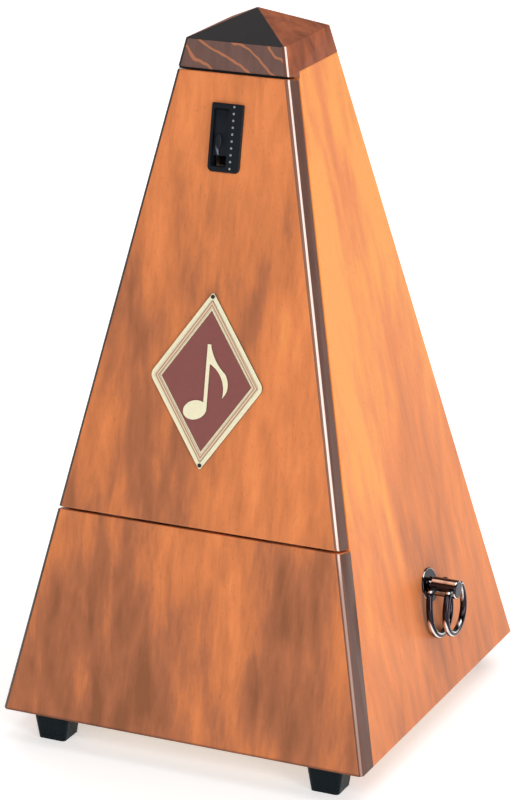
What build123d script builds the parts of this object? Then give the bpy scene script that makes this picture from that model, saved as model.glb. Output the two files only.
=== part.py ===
from build123d import *
from math import asin, atan, cos, degrees, hypot, pi, radians, sin
import os

# Wooden pyramid metronome. Millimetres, +Z up, front -Y, winding key on +X.
# The origin is on the table, under the middle of the case.

os.makedirs("parts", exist_ok=True)

# ---- driving dimensions -------------------------------------------------------------------
HALF_BASE = 60.0            # half the width of the case at its bottom edge
FOOT_H = 9.5                # the case stands this far above the table
SLOPE = 0.21538             # a face leans in this much for each millimetre of height
CROWN_Z = 205.2             # top edge of the side and back panels
SHOULDER_Z = 213.35         # where the crown turns to its flat pyramid
APEX_Z = 220.6
APEX_FLAT = 0.5             # width of the rubbed-down tip

PANEL_T = 6.0               # side and back panels
BASE_T = 6.0                # bottom board
LID_T = 7.0                 # front cover
LOWER_T = 7.9               # lower front panel
SKIN_T = 3.0                # what the milling leaves of both front boards
EDGE_BEVEL = 1.1            # bevel on the front corners of both front boards
CORNER_BEVEL = 0.5          # bevel on the rear corners and the crown
SPLIT_T = 64.4              # up the slope: top edge of the lower front panel
LID_BOTTOM_T = 65.1
LID_TOP_T = 199.5
CROWN_LIP_T = 200.2         # up the slope: lower edge of the crown's front lip

KEY_Y, KEY_Z = 7.8, 43.7    # axis of the winding arbor
KEY_HUB_END = 62.4
LOOP_WIRE_R = 1.05
LOOP_CORNER_R = 1.3
LOOP_INNER_X, LOOP_INNER_W, LOOP_INNER_DEPTH = 55.5, 16.0, 15.3
LOOP_OUTER_X, LOOP_OUTER_W, LOOP_OUTER_DEPTH = 60.9, 14.4, 14.0
LOOP_INNER_SIDE_R, LOOP_OUTER_SIDE_R = 16.0, 11.0    # bow of the sides
LOOP_INNER_LEAN, LOOP_OUTER_LEAN = 6.5, 2.0    # degrees that each loop rests out of the vertical

GEAR_MODULE = 0.6
GREAT_TEETH, MIDDLE_TEETH, PINION_TEETH = 60, 48, 12
GREAT_TO_MIDDLE = 202.82    # direction from the great wheel's centre to the next arbor, degrees
MIDDLE_TO_ESCAPE = 152.0
GREAT_X, MIDDLE_X = -9.0, 9.6
ESCAPE_R, ESCAPE_TEETH = 11.0, 20
ARBOR_R, THIN_ARBOR_R = 1.9, 0.9
RUN = 0.05                  # radial running clearance
PLATE_X, PLATE_T = 12.4, 1.2    # inner face and thickness of the movement's brass plates

PIVOT_T = 56.0              # up the slope: the pendulum's axle
AXLE_R = 1.2
AXLE_FRONT, AXLE_BACK = -3.9, -37.5
ROD_W, ROD_T = 3.0, 0.4
ROD_BACK = -7.65            # rear face of the rod, measured out of the front plane
ROD_LOW_T, ROD_TOP_T = 14.0, 196.0
BOB_T, BOB_R = 26.0, 15.0
WEIGHT_T = 106.0            # up the slope: the tempo weight at its fastest mark
MASK_FRONT = -9.7
BRIDGE_BACK = -16.5
REAR_BRIDGE_BACK = -36.0

BADGE_T, BADGE_HALF_W, BADGE_HALF_H = 109.2, 18.6, 26.6
CATCH_T, CATCH_W, CATCH_H = 180.85, 10.2, 20.1

# ---- derived values -----------------------------------------------------------------------
LEAN = degrees(atan(SLOPE))
SIN, COS = sin(radians(LEAN)), cos(radians(LEAN))


def half_width(z):
    """Half the width of the case at a height."""
    return HALF_BASE - SLOPE * (z - FOOT_H)


def face_plane(azimuth):
    """Plane of a sloping face: x along the base edge, y up the slope, z outward."""
    out_x = cos(radians(azimuth))
    out_y = sin(radians(azimuth))
    return Plane(
        origin=(HALF_BASE * out_x, HALF_BASE * out_y, FOOT_H),
        x_dir=(-out_y, out_x, 0),
        z_dir=(COS * out_x, COS * out_y, SIN),
    )


FRONT, RIGHT = face_plane(-90), face_plane(0)
BACK, LEFT = face_plane(90), face_plane(180)


def slope_level(t):
    """Plane square to the front face at a distance up its slope."""
    return Plane(origin=FRONT.from_local_coords((0, t, 0)), x_dir=(1, 0, 0), z_dir=(0, SIN, COS))


def side_view(n, t):
    """(y, z) of a point n out of the front face and t up its slope."""
    point = FRONT.from_local_coords((0, t, n))
    return (point.Y, point.Z)


def front_half_width(t):
    """Half the width of the front face at a distance up its slope."""
    return HALF_BASE - SIN * t


def front_plane(n, t):
    """Plane parallel to the front face, n out of it, with its origin t up the slope."""
    return Plane(origin=FRONT.from_local_coords((0, t, n)), x_dir=(1, 0, 0), z_dir=FRONT.z_dir)


def across(x, centre=(0, 0)):
    """Plane square to the X axis, its origin at (y, z); its x is +Y and its y is +Z."""
    return Plane(origin=(x, *centre), x_dir=(0, 1, 0), z_dir=(1, 0, 0))


def on_planes(edges, *planes):
    """The edges that lie in all the given planes."""
    for plane in planes:
        edges = edges.filter_by(
            lambda edge: all(abs(plane.to_local_coords(v.center()).Z) < 1e-3 for v in edge.vertices())
        )
    return edges


def save(builder, name):
    """Labels a finished piece and writes its STEP file."""
    builder.part.label = name
    export_step(builder.part, f"parts/{name}.step")


def case_block(bottom_z, top_z):
    """Solid block of the case's outside shape between two heights."""
    with BuildPart() as block:
        with BuildSketch(Plane.XY.offset(bottom_z)):
            Rectangle(2 * half_width(bottom_z), 2 * half_width(bottom_z))
        extrude(amount=top_z - bottom_z, taper=LEAN)
    return block.part


case = case_block(FOOT_H, CROWN_Z)


# ---- case ---------------------------------------------------------------------------------
def side_panel(face, name, key_hole):
    """Side board from the front joint to the rear face, with the key's hole on the right."""
    with BuildPart() as panel:
        add(case)
        split(bisect_by=face.offset(-PANEL_T), keep=Keep.TOP)
        split(bisect_by=FRONT.offset(-LOWER_T), keep=Keep.BOTTOM)
        chamfer(on_planes(panel.edges(), face, BACK), CORNER_BEVEL)
        if key_hole:
            with BuildSketch(across(0)):
                with Locations((KEY_Y, KEY_Z)):
                    Circle(ARBOR_R + 0.8)
            extrude(amount=HALF_BASE, mode=Mode.SUBTRACT)
    save(panel, name)


def back_panel():
    """Rear board between the side boards."""
    with BuildPart() as panel:
        add(case)
        split(bisect_by=BACK.offset(-PANEL_T), keep=Keep.TOP)
        split(bisect_by=RIGHT.offset(-PANEL_T), keep=Keep.BOTTOM)
        split(bisect_by=LEFT.offset(-PANEL_T), keep=Keep.BOTTOM)
    save(panel, "back_panel")


def front_pocket(bottom_t, top_t, rail, board_t):
    """Milled hollow in the back of a front board, inside side rails of the given width."""
    low, high = front_half_width(bottom_t) - rail, front_half_width(top_t) - rail
    with BuildPart() as pocket:
        with BuildSketch(FRONT.offset(-board_t)):
            with BuildLine():
                Polyline((-low, bottom_t), (low, bottom_t), (high, top_t), (-high, top_t), close=True)
            make_face()
        extrude(amount=board_t - SKIN_T)
    return pocket.part


def lower_front_panel():
    """Fixed lower front board, milled out behind for the bob."""
    pocket = front_pocket(7.0, SPLIT_T + 1, 7.0, LOWER_T)
    with BuildPart() as panel:
        add(case)
        split(bisect_by=FRONT.offset(-LOWER_T), keep=Keep.TOP)
        split(bisect_by=slope_level(SPLIT_T), keep=Keep.BOTTOM)
        chamfer(on_planes(panel.edges(), FRONT, RIGHT), EDGE_BEVEL)
        chamfer(on_planes(panel.edges(), FRONT, LEFT), EDGE_BEVEL)
        add(pocket, mode=Mode.SUBTRACT)
    save(panel, "lower_front_panel")


FOOT_X, FOOT_Y, FOOT_TOP_W, FOOT_LOW_W = 45.7, 51.0, 12.0, 9.0
FOOT_SCREW_Y, FOOT_SCREW_R, FOOT_HEAD_R = 48.5, 1.5, 2.8
FOOT_HEAD_Z = 3.5


def base_board():
    """Bottom board let in between the four walls, bored for the foot screws."""
    with BuildPart() as board:
        add(case_block(FOOT_H, FOOT_H + BASE_T))
        for wall in (RIGHT, LEFT, BACK):
            split(bisect_by=wall.offset(-PANEL_T), keep=Keep.BOTTOM)
        split(bisect_by=FRONT.offset(-LOWER_T), keep=Keep.BOTTOM)
        with BuildSketch(Plane.XY.offset(FOOT_H)):
            with GridLocations(2 * FOOT_X, 2 * FOOT_SCREW_Y, 2, 2):
                Circle(FOOT_SCREW_R)
        extrude(amount=BASE_T - 1.5, mode=Mode.SUBTRACT)
    save(board, "base_board")


def feet():
    """Four tapered feet, each with a counterbored screw hole."""
    downward = Plane(origin=(0, 0, FOOT_H), x_dir=(1, 0, 0), z_dir=(0, 0, -1))
    with BuildPart() as four_feet:
        with BuildSketch(downward):
            with GridLocations(2 * FOOT_X, 2 * FOOT_Y, 2, 2):
                RectangleRounded(FOOT_TOP_W, FOOT_TOP_W, 2.6)
        extrude(amount=FOOT_H, taper=degrees(atan((FOOT_TOP_W - FOOT_LOW_W) / 2 / FOOT_H)))
        with BuildSketch(Plane.XY):
            with GridLocations(2 * FOOT_X, 2 * FOOT_SCREW_Y, 2, 2):
                Circle(FOOT_SCREW_R)
        extrude(amount=FOOT_H, mode=Mode.SUBTRACT)
        with BuildSketch(Plane.XY):
            with GridLocations(2 * FOOT_X, 2 * FOOT_SCREW_Y, 2, 2):
                Circle(FOOT_HEAD_R)
        extrude(amount=FOOT_HEAD_Z, mode=Mode.SUBTRACT)
    save(four_feet, "feet")


def foot_screws():
    """Four slotted screws that hold the feet to the bottom board."""
    with BuildPart() as screws:
        with BuildSketch(Plane.XY.offset(FOOT_HEAD_Z)):
            with GridLocations(2 * FOOT_X, 2 * FOOT_SCREW_Y, 2, 2):
                Circle(FOOT_SCREW_R)
        extrude(amount=FOOT_H + BASE_T - 1.5 - FOOT_HEAD_Z)
        with BuildSketch(Plane.XY.offset(FOOT_HEAD_Z)):
            with GridLocations(2 * FOOT_X, 2 * FOOT_SCREW_Y, 2, 2):
                Circle(FOOT_HEAD_R - 0.3)
        extrude(amount=-1.6)
        with BuildSketch(Plane.XY.offset(FOOT_HEAD_Z - 1.6)):
            with GridLocations(2 * FOOT_X, 2 * FOOT_SCREW_Y, 2, 2):
                Rectangle(2 * FOOT_HEAD_R, 0.8)
        extrude(amount=0.7, mode=Mode.SUBTRACT)
    save(screws, "foot_screws")


def crown():
    """Cap with a front lip over the cover and a plug between the walls."""
    shoulder = half_width(SHOULDER_Z)
    lip_bottom_z = CROWN_Z - 3
    cap = case_block(lip_bottom_z, SHOULDER_Z)
    rise = APEX_Z - SHOULDER_Z
    with BuildPart() as piece:
        add(cap)
        with BuildSketch(Plane.XY.offset(SHOULDER_Z)):
            Rectangle(2 * shoulder, 2 * shoulder)
        extrude(amount=rise, taper=degrees(atan((shoulder - APEX_FLAT / 2) / rise)))
        lip_back_y = side_view(-LOWER_T, CROWN_LIP_T)
        with BuildSketch(Plane.YZ):
            with BuildLine():
                Polyline(
                    side_view(3, CROWN_LIP_T),
                    lip_back_y,
                    (lip_back_y[0] + (CROWN_Z - lip_back_y[1]) * SLOPE, CROWN_Z),
                    (HALF_BASE, CROWN_Z),
                    (HALF_BASE, CROWN_Z - 10),
                    (side_view(3, CROWN_LIP_T)[0], CROWN_Z - 10),
                    close=True,
                )
            make_face()
        extrude(amount=HALF_BASE, both=True, mode=Mode.SUBTRACT)
        for wall in (FRONT, BACK):
            for side in (LEFT, RIGHT):
                chamfer(on_planes(piece.edges(), wall, side), EDGE_BEVEL if wall is FRONT else CORNER_BEVEL)
        with BuildSketch(Plane.XY.offset(CROWN_Z)):
            with Locations((0, 4.0)):
                Rectangle(22, 14)
        extrude(amount=-6)
    save(piece, "crown")


def mask_board():
    """Thin board behind the rod that closes off the movement above the axle."""
    with BuildPart() as board:
        low_t, high_t, setback = 66.0, 195.0, 6.0
        with BuildSketch(FRONT.offset(MASK_FRONT - 2.5)):
            low, high = front_half_width(low_t) - setback, front_half_width(high_t) - setback
            with BuildLine():
                Polyline((-low, low_t), (low, low_t), (high, high_t), (-high, high_t), close=True)
            make_face()
        extrude(amount=2.5)
    save(board, "mask_board")


def scale_plate():
    """Tempo scale plate on the mask board, behind the rod."""
    with BuildPart() as plate:
        with BuildSketch(FRONT.offset(MASK_FRONT)):
            with BuildLine():
                Polyline((-13, 72), (13, 72), (11, 188), (-11, 188), close=True)
            make_face()
        extrude(amount=0.5)
    save(plate, "scale_plate")


def rod_clip():
    """Two-pronged spring clip at the top of the mask board."""
    with BuildPart() as clip:
        with BuildSketch(FRONT.offset(MASK_FRONT)):
            with Locations((0, 191.5)):
                RectangleRounded(9, 4, 0.8)
        extrude(amount=0.8)
        with BuildSketch(FRONT.offset(MASK_FRONT)):
            with Locations((0, 191.5)):
                with GridLocations(6, 0, 2, 1):
                    Rectangle(0.8, 3)
        extrude(amount=1.75)
    save(clip, "rod_clip")


def key_escutcheon():
    """Thin ring round the key's hole, flat on the right panel."""
    hole_t = (KEY_Z - FOOT_H) / COS
    with BuildPart() as ring:
        with BuildSketch(RIGHT):
            with Locations((KEY_Y, hole_t)):
                Circle(5.4)
        extrude(amount=0.6)
        fillet(ring.edges().filter_by(GeomType.CIRCLE).group_by(Axis(RIGHT.origin, RIGHT.z_dir))[-1], 0.4)
        with BuildSketch(across(0)):
            with Locations((KEY_Y, KEY_Z)):
                Circle(ARBOR_R + 0.8)
        extrude(amount=HALF_BASE, mode=Mode.SUBTRACT)
    save(ring, "key_escutcheon")


# ---- cover --------------------------------------------------------------------------------
CATCH_BODY_W, CATCH_BODY_H = CATCH_W - 1.4, CATCH_H - 1.4
WINDOW_X, WINDOW_W, WINDOW_H = -1.75, 5.0, 17.0
CARRIAGE_W, CARRIAGE_FRONT, CARRIAGE_T = 6.0, -3.2, 1.1


def cover():
    """Lift-off front cover: a board milled out behind, with the catch's opening and its groove."""
    pocket = front_pocket(LID_BOTTOM_T + 6, 192.0, 5.0, LID_T)
    with BuildPart() as lid:
        add(case)
        split(bisect_by=FRONT.offset(-LID_T), keep=Keep.TOP)
        split(bisect_by=slope_level(LID_BOTTOM_T), keep=Keep.TOP)
        split(bisect_by=slope_level(LID_TOP_T), keep=Keep.BOTTOM)
        chamfer(on_planes(lid.edges(), FRONT, RIGHT), EDGE_BEVEL)
        chamfer(on_planes(lid.edges(), FRONT, LEFT), EDGE_BEVEL)
        add(pocket, mode=Mode.SUBTRACT)
        with BuildSketch(FRONT):
            with Locations((0, CATCH_T)):
                Rectangle(CATCH_BODY_W, CATCH_BODY_H)
        extrude(amount=-SKIN_T, mode=Mode.SUBTRACT)
        with BuildSketch(FRONT.offset(-SKIN_T)):
            with Locations((0, LID_TOP_T - 3)):
                Rectangle(CARRIAGE_W + 2.4, 10)
        extrude(amount=-1.6, mode=Mode.SUBTRACT)
    save(lid, "cover")


def locating_tongues():
    """Two hardwood tongues under the cover that drop behind the lower panel."""
    with BuildPart() as tongues:
        with BuildSketch(FRONT.offset(-6.2)):
            with GridLocations(56, 0, 2, 1):
                with Locations((0, LID_BOTTOM_T - 2.2)):
                    RectangleRounded(12, 4.4, 0.8)
        extrude(amount=2.6)
    save(tongues, "locating_tongues")


def catch_outline(width, height):
    """Catch outline with square upper corners and rounded lower ones."""
    with BuildSketch() as outline:
        Rectangle(width, height)
        fillet(outline.vertices().group_by(Axis.Y)[0], 1.6)
        fillet(outline.vertices().group_by(Axis.Y)[-1], 0.5)
    return outline.sketch


def catch_housing():
    """Black plastic housing of the catch: a flange on the cover and a body through it."""
    flange = catch_outline(CATCH_W, CATCH_H)
    with BuildPart() as housing:
        with BuildSketch(FRONT):
            with Locations((0, CATCH_T)):
                add(flange)
        extrude(amount=1.0)
        fillet(on_planes(housing.edges(), FRONT.offset(1.0)), 0.3)
        with BuildSketch(FRONT):
            with Locations((0, CATCH_T)):
                Rectangle(CATCH_BODY_W, CATCH_BODY_H)
        extrude(amount=-SKIN_T)
        with BuildSketch(FRONT.offset(1.0)):
            with Locations((WINDOW_X, CATCH_T)):
                RectangleRounded(WINDOW_W, WINDOW_H, 0.5)
        extrude(amount=-SKIN_T - 1.0, mode=Mode.SUBTRACT)
    save(housing, "catch_housing")


def catch_slider():
    """Thumb slider in the housing's window, with the bolt that runs up under the crown."""
    travel = 3.0
    pad_h = WINDOW_H - travel - 0.4
    pad_t = CATCH_T + travel / 2
    carriage_top, carriage_low = LID_TOP_T + 0.35, pad_t - pad_h / 2 + 1
    with BuildPart() as slider:
        with BuildSketch(FRONT.offset(CARRIAGE_FRONT)):
            with Locations((WINDOW_X, pad_t)):
                Rectangle(WINDOW_W - 0.4, pad_h)
        extrude(amount=-CARRIAGE_FRONT - 0.2)
        with BuildSketch(FRONT.offset(-0.2)):
            with Locations((WINDOW_X - 0.4, pad_t - 2.6)):
                Ellipse(0.9, 2.2)
        extrude(amount=1.3)
        fillet(on_planes(slider.edges(), FRONT.offset(1.1)), 0.35)
        with BuildSketch(FRONT.offset(CARRIAGE_FRONT)):
            with Locations((0, (carriage_top + carriage_low) / 2)):
                Rectangle(CARRIAGE_W, carriage_top - carriage_low)
        extrude(amount=-CARRIAGE_T)
    save(slider, "catch_slider")


def catch_leaf_springs():
    """Two bent leaves that grip the slider's edges, fixed behind the cover."""
    with BuildPart() as leaves:
        with BuildSketch(FRONT.offset(CARRIAGE_FRONT - 0.1)):
            for side in (-1, 1):
                with BuildLine():
                    Polyline((side * 5.8, 174), (side * 3.3, 180), (side * 5.8, 186))
                    offset(amount=0.15, side=Side.BOTH)
                make_face()
        extrude(amount=-1.2)
    save(leaves, "catch_leaf_springs")


def rhombus(inset, corner_r):
    """Badge outline drawn in by an inset, with its left and right corners rounded."""
    side = hypot(BADGE_HALF_W, BADGE_HALF_H)
    half_w = BADGE_HALF_W - inset * side / BADGE_HALF_H
    half_h = BADGE_HALF_H - inset * side / BADGE_HALF_W
    with BuildSketch() as outline:
        with BuildLine():
            Polyline((half_w, 0), (0, half_h), (-half_w, 0), (0, -half_h), close=True)
        make_face()
        if corner_r:
            fillet(outline.vertices().group_by(Axis.X)[0], corner_r)
            fillet(outline.vertices().group_by(Axis.X)[-1], corner_r)
            fillet(outline.vertices().group_by(Axis.Y)[0], corner_r / 4)
            fillet(outline.vertices().group_by(Axis.Y)[-1], corner_r / 4)
    return outline.sketch


BADGE_STEP = 0.5            # thickness of the badge's plate
INLAY = 0.15                # how far its enamel stands above the plate


def badge_layer(name, outer_inset, inner_inset, corner_r, low_n, high_n):
    """One flat rhombic layer of the badge, a ring when it has an inner inset."""
    outer = rhombus(outer_inset, corner_r)
    inner = rhombus(inner_inset, corner_r) if inner_inset else None
    with BuildPart() as layer:
        with BuildSketch(FRONT.offset(low_n)):
            with Locations((0, BADGE_T)):
                add(outer)
                if inner:
                    add(inner, mode=Mode.SUBTRACT)
        extrude(amount=high_n - low_n)
    save(layer, name)


def badge_motif():
    """Raised eighth note: head, stem and flag."""
    with BuildPart() as note:
        with BuildSketch(front_plane(BADGE_STEP + INLAY, BADGE_T)):
            with Locations((-2.9, -8.8)):
                Ellipse(3.9, 2.8, rotation=22)
            with Locations((0.3, 1.2)):
                Rectangle(1.2, 19.8)
            with BuildLine():
                ThreePointArc((0.8, 11.0), (2.8, 6.4), (5.9, 3.1))
                ThreePointArc((5.9, 3.1), (7.2, -0.8), (5.6, -4.4))
                ThreePointArc((5.6, -4.4), (5.2, 0.8), (0.8, 5.4))
                Line((0.8, 5.4), (0.8, 11.0))
            make_face()
        extrude(amount=0.25)
    save(note, "badge_motif")


def badge_pins():
    """Two small pins that hold the badge, at its upper and lower corners."""
    with BuildPart() as pins:
        with BuildSketch(FRONT.offset(BADGE_STEP)):
            with Locations((0, BADGE_T)):
                with GridLocations(0, 2 * BADGE_HALF_H - 3.0, 1, 2):
                    Circle(0.6)
        extrude(amount=0.5)
        fillet(on_planes(pins.edges(), FRONT.offset(BADGE_STEP + 0.5)), 0.3)
    save(pins, "badge_pins")


# ---- movement -----------------------------------------------------------------------------
def gear_distance(teeth):
    """Distance between the centres of a wheel and its pinion."""
    return (teeth + PINION_TEETH) * GEAR_MODULE / 2


def step_from(point, distance, angle):
    """Point at a distance and a direction from another one."""
    return (point[0] + distance * cos(radians(angle)), point[1] + distance * sin(radians(angle)))


GREAT = (KEY_Y, KEY_Z)
MIDDLE = step_from(GREAT, gear_distance(GREAT_TEETH), GREAT_TO_MIDDLE)
ESCAPE = step_from(MIDDLE, gear_distance(MIDDLE_TEETH), MIDDLE_TO_ESCAPE)


def tooth_outline(teeth, root_r, pitch_r, tip_r, widths, phase):
    """Closed outline of a gear: each tooth has root, pitch and tip widths as shares of the pitch."""
    points = []
    for tooth in range(teeth):
        for radius, width, side in zip(
            (root_r, pitch_r, tip_r, tip_r, pitch_r, root_r),
            (widths[0], widths[1], widths[2], widths[2], widths[1], widths[0]),
            (-1, -1, -1, 1, 1, 1),
        ):
            angle = radians(phase) + (tooth + side * width / 2) * 2 * pi / teeth
            points.append((radius * cos(angle), radius * sin(angle)))
    return points


def spur_outline(teeth, addendum, dedendum, widths, phase):
    """Outline of a spur gear of the movement's module."""
    pitch_r = teeth * GEAR_MODULE / 2
    return tooth_outline(
        teeth, pitch_r - dedendum * GEAR_MODULE, pitch_r, pitch_r + addendum * GEAR_MODULE, widths, phase
    )


def wheel(name, points, centre, x, thickness, bore_r, windows):
    """Toothed wheel; windows is (count, distance from the centre, radius) of its lightening holes."""
    with BuildPart() as gear:
        with BuildSketch(across(x - thickness / 2, centre)):
            with BuildLine():
                Polyline(points, close=True)
            make_face()
            Circle(bore_r, mode=Mode.SUBTRACT)
            if windows:
                with PolarLocations(windows[1], windows[0]):
                    Circle(windows[2], mode=Mode.SUBTRACT)
        extrude(amount=thickness)
    save(gear, name)


WHEEL_WIDTHS, PINION_WIDTHS = (0.60, 0.40, 0.14), (0.50, 0.36, 0.20)


def train():
    """Wheels, pinions and arbors from the mainspring to the escape wheel."""
    wheel(
        "great_wheel", spur_outline(GREAT_TEETH, 0.9, 1.25, WHEEL_WIDTHS, GREAT_TO_MIDDLE),
        GREAT, GREAT_X, 1.6, ARBOR_R, (5, 12.6, 2.6),
    )
    wheel(
        "intermediate_pinion",
        spur_outline(PINION_TEETH, 0.77, 1.3, PINION_WIDTHS, GREAT_TO_MIDDLE + 180 + 180 / PINION_TEETH),
        MIDDLE, GREAT_X, 3.0, THIN_ARBOR_R, None,
    )
    wheel(
        "intermediate_wheel", spur_outline(MIDDLE_TEETH, 0.9, 1.25, WHEEL_WIDTHS, MIDDLE_TO_ESCAPE),
        MIDDLE, MIDDLE_X, 1.0, THIN_ARBOR_R, (5, 8.6, 2.9),
    )
    wheel(
        "escape_pinion",
        spur_outline(PINION_TEETH, 0.77, 1.3, PINION_WIDTHS, MIDDLE_TO_ESCAPE + 180 + 180 / PINION_TEETH),
        ESCAPE, MIDDLE_X, 2.6, THIN_ARBOR_R, None,
    )
    escape_teeth = tooth_outline(
        ESCAPE_TEETH, ESCAPE_R - 2.2, ESCAPE_R - 1.1, ESCAPE_R, (0.60, 0.34, 0.12), 0
    )
    wheel("escape_wheel", escape_teeth, ESCAPE, 0, 1.0, THIN_ARBOR_R, (4, 5.2, 2.1))
    for name, centre in (("intermediate_arbor", MIDDLE), ("escape_arbor", ESCAPE)):
        end = PLATE_X + PLATE_T + 0.6
        with BuildPart() as arbor:
            with BuildSketch(across(-end)):
                with Locations(centre):
                    Circle(THIN_ARBOR_R)
            extrude(amount=2 * end)
        save(arbor, name)


def winding_parts():
    """Winding arbor, ratchet wheel, click and click spring."""
    with BuildPart() as arbor:
        with BuildSketch(across(-PLATE_X - PLATE_T - 1.0)):
            with Locations(GREAT):
                Circle(ARBOR_R)
        extrude(amount=PLATE_X + PLATE_T + 1.0 + 49.0)
    save(arbor, "winding_arbor")

    ratchet_x = GREAT_X + 0.8 + 0.65
    ratchet_teeth = []
    for tooth in range(14):
        for radius, share in ((5.6, 0.0), (4.5, 0.12)):
            angle = 2 * pi * (tooth + share) / 14
            ratchet_teeth.append((radius * cos(angle), radius * sin(angle)))
    wheel("ratchet_wheel", ratchet_teeth, GREAT, ratchet_x, 1.3, ARBOR_R, None)

    with BuildPart() as click:
        with BuildSketch(across(ratchet_x - 0.65, GREAT)):
            with BuildLine():
                Polyline((8.3, 4.2), (6.9, 5.2), (5.2, 2.9), (6.0, 2.0), close=True)
            make_face()
        extrude(amount=1.2)
    save(click, "click")

    with BuildPart() as spring:
        with BuildSketch(across(ratchet_x - 0.65, GREAT)):
            with BuildLine():
                RadiusArc((8.75, 4.2), (9.2, -4.6), 14)
                offset(amount=0.2, side=Side.BOTH)
            make_face()
        extrude(amount=1.0)
    save(spring, "click_spring")


def mainspring():
    """Spiral mainspring between the plates, clear of the arbor and the pillars."""
    turns, inner_r, outer_r, thickness, steps = 6, 2.7, 16.2, 0.45, 22
    count = turns * steps
    inner_side = []
    outer_side = []
    for step in range(count + 1):
        angle = 2 * pi * step / steps
        radius = inner_r + (outer_r - inner_r) * step / count
        inner_side.append((radius * cos(angle), radius * sin(angle)))
        outer_side.append(((radius + thickness) * cos(angle), (radius + thickness) * sin(angle)))
    with BuildPart() as spring:
        with BuildSketch(across(-5.5, GREAT)):
            with BuildLine():
                Polyline(inner_side + outer_side[::-1], close=True)
            make_face()
        extrude(amount=11)
    save(spring, "mainspring")


PILLARS = ((-35.0, 20.5), (21.5, 20.5), (20.0, 63.0), (-8.0, 64.5))
PILLAR_R, SCREW_R, SCREW_HEAD_R = 1.9, 0.9, 1.9


def movement_plate(x, name):
    """Brass side plate of the movement."""
    low_z, high_z = FOOT_H + BASE_T, 68.0
    front_gap = -BRIDGE_BACK / COS

    def front_y(z):
        return -half_width(z) + front_gap

    with BuildPart() as plate:
        with BuildSketch(across(x)):
            with BuildLine():
                Polyline(
                    (front_y(low_z), low_z), (25.5, low_z), (25.5, 60.0), (16.0, high_z),
                    (front_y(high_z), high_z), close=True,
                )
            make_face()
            with Locations(GREAT):
                Circle(ARBOR_R + RUN, mode=Mode.SUBTRACT)
            with Locations(MIDDLE, ESCAPE):
                Circle(THIN_ARBOR_R + RUN, mode=Mode.SUBTRACT)
            with Locations(*PILLARS):
                Circle(SCREW_R, mode=Mode.SUBTRACT)
        extrude(amount=PLATE_T)
    save(plate, name)


def pillars_and_screws():
    """Four pillars between the plates and the eight screws into their ends."""
    with BuildPart() as pillars:
        with BuildSketch(across(-PLATE_X)):
            with Locations(*PILLARS):
                Circle(PILLAR_R)
        extrude(amount=2 * PLATE_X)
        for end in (-PLATE_X, PLATE_X - 4):
            with BuildSketch(across(end)):
                with Locations(*PILLARS):
                    Circle(SCREW_R)
            extrude(amount=4, mode=Mode.SUBTRACT)
    save(pillars, "pillars")

    with BuildPart() as screws:
        for side in (-1, 1):
            with BuildSketch(across(side * (PLATE_X - 3.5))):
                with Locations(*PILLARS):
                    Circle(SCREW_R)
            extrude(amount=side * (PLATE_T + 3.5))
            with BuildSketch(across(side * (PLATE_X + PLATE_T))):
                with Locations(*PILLARS):
                    Circle(SCREW_HEAD_R)
            extrude(amount=side * 1.1)
            with BuildSketch(across(side * (PLATE_X + PLATE_T + 0.6))):
                with Locations(*PILLARS):
                    Rectangle(2 * SCREW_HEAD_R + 1, 0.5, rotation=35)
            extrude(amount=side * 0.5, mode=Mode.SUBTRACT)
    save(screws, "plate_screws")


def bridge(name, half_w, back_n):
    """Cross bar for the pendulum's axle, with a bore for its bush."""
    with BuildPart() as bar:
        with BuildSketch(FRONT.offset(back_n)):
            with Locations((0, PIVOT_T + 0.75)):
                Rectangle(2 * half_w, 10.5)
            with Locations((0, PIVOT_T)):
                Circle(2.4, mode=Mode.SUBTRACT)
        extrude(amount=1.5)
    save(bar, name)


def bush(name, back_n):
    """Bronze bush for the pendulum's axle."""
    with BuildPart() as ring:
        with BuildSketch(FRONT.offset(back_n - 0.8)):
            with Locations((0, PIVOT_T)):
                Circle(2.4)
                Circle(AXLE_R + RUN, mode=Mode.SUBTRACT)
        extrude(amount=3.1)
    save(ring, name)


def bridge_screws():
    """Two screw heads that hold the front bridge to the plates' front edges."""
    with BuildPart() as screws:
        with BuildSketch(FRONT.offset(BRIDGE_BACK + 1.5)):
            with Locations((0, PIVOT_T + 0.75)):
                with GridLocations(2 * (PLATE_X + PLATE_T / 2), 0, 2, 1):
                    Circle(1.6)
        extrude(amount=0.9)
    save(screws, "bridge_screws")


BRACKET_Y = -10.0


def mounting_brackets():
    """Two angle brackets from the plates to the bottom board, and their screws."""
    floor_z = FOOT_H + BASE_T
    outer = PLATE_X + PLATE_T
    with BuildPart() as brackets:
        for side in (-1, 1):
            with BuildSketch(Plane.XZ.offset(-BRACKET_Y - 6)):
                with BuildLine():
                    Polyline(
                        (side * outer, floor_z), (side * (outer + 9), floor_z),
                        (side * (outer + 9), floor_z + 1.2), (side * (outer + 1.2), floor_z + 1.2),
                        (side * (outer + 1.2), floor_z + 9), (side * outer, floor_z + 9), close=True,
                    )
                make_face()
            extrude(amount=12)
    save(brackets, "mounting_brackets")

    with BuildPart() as screws:
        with BuildSketch(Plane.XY.offset(floor_z + 1.2)):
            with Locations((0, BRACKET_Y)):
                with GridLocations(2 * (outer + 5.4), 0, 2, 1):
                    Circle(2.0)
        extrude(amount=1.0)
    save(screws, "bracket_screws")


# ---- pendulum -----------------------------------------------------------------------------
def rod_section(low_t, high_t, play):
    """Block of the rod's section, widened by the play, between two distances up the slope."""
    with BuildPart() as block:
        with BuildSketch(FRONT.offset(ROD_BACK - play)):
            with Locations((0, (low_t + high_t) / 2)):
                Rectangle(ROD_W + 2 * play, high_t - low_t)
        extrude(amount=ROD_T + 2 * play)
    return block.part


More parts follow.
